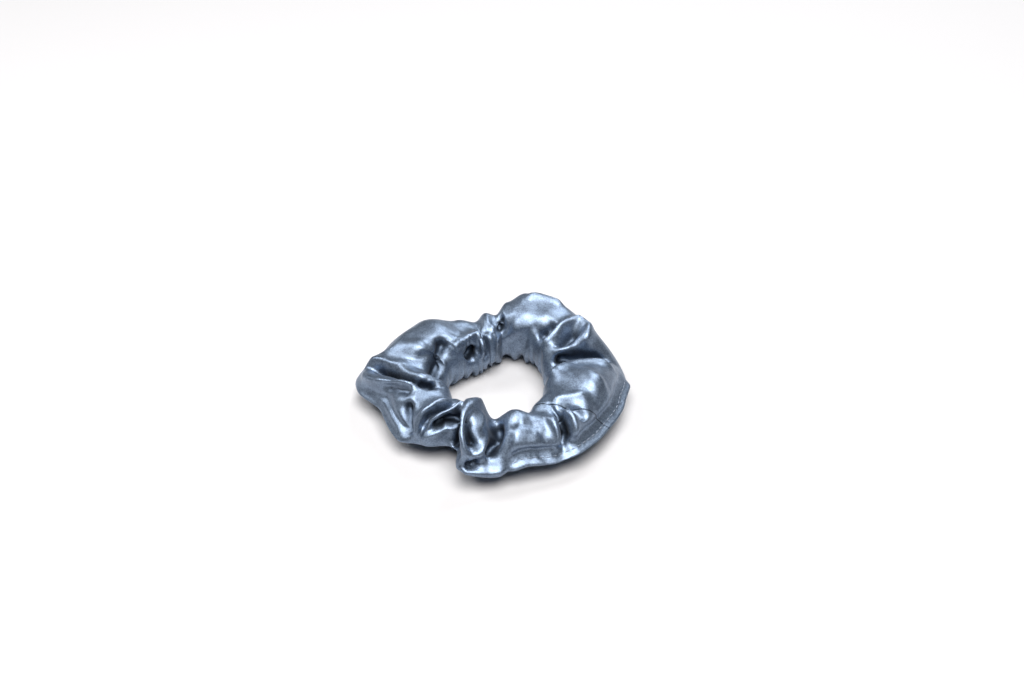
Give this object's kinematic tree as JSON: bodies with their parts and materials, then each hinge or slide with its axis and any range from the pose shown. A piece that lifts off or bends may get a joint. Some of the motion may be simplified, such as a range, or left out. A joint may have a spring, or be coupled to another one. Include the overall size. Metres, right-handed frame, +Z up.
{
  "type": "scrunchie",
  "caption": "Satin scrunchie: a gathered tube of slate-blue satin over a hidden loop of flat elastic, closed by an edge-stitched hem; pulls open about the hair.",
  "frame": {"origin": "centre of the base, on the surface that the loop lies on", "axes": "+Z up through the opening, +X towards the edge-stitched hem, +Y to the back"},
  "size_m": [0.1089, 0.1, 0.0272],
  "materials": {
    "satin": "slate-blue polyester satin, silky directional sheen",
    "thread": "spun polyester sewing thread",
    "elastic": "knitted flat elastic, ribbed"
  },
  "bodies": {
    "left_half": {"cover_left": "satin", "seam_allowance_left": "satin", "seam_needle_thread_left": "thread", "seam_bobbin_thread_left": "thread"},
    "right_half": {"cover_right": "satin", "closing_hem": "satin", "seam_allowance_right": "satin", "seam_needle_thread_right": "thread", "seam_bobbin_thread_right": "thread", "closing_needle_thread": "thread", "closing_bobbin_thread": "thread", "cross_seam_allowance": "satin", "cross_seam_thread": "thread", "elastic_band": "elastic", "elastic_join_thread": "thread"}
  },
  "joints": [
    {"name": "stretch", "type": "slide", "parent": "left_half", "child": "right_half", "axis": [1, 0, 0], "range_m": [0, 0.08], "stiffness_N_per_m": 100, "deforming": ["elastic_band"]}
  ]
}
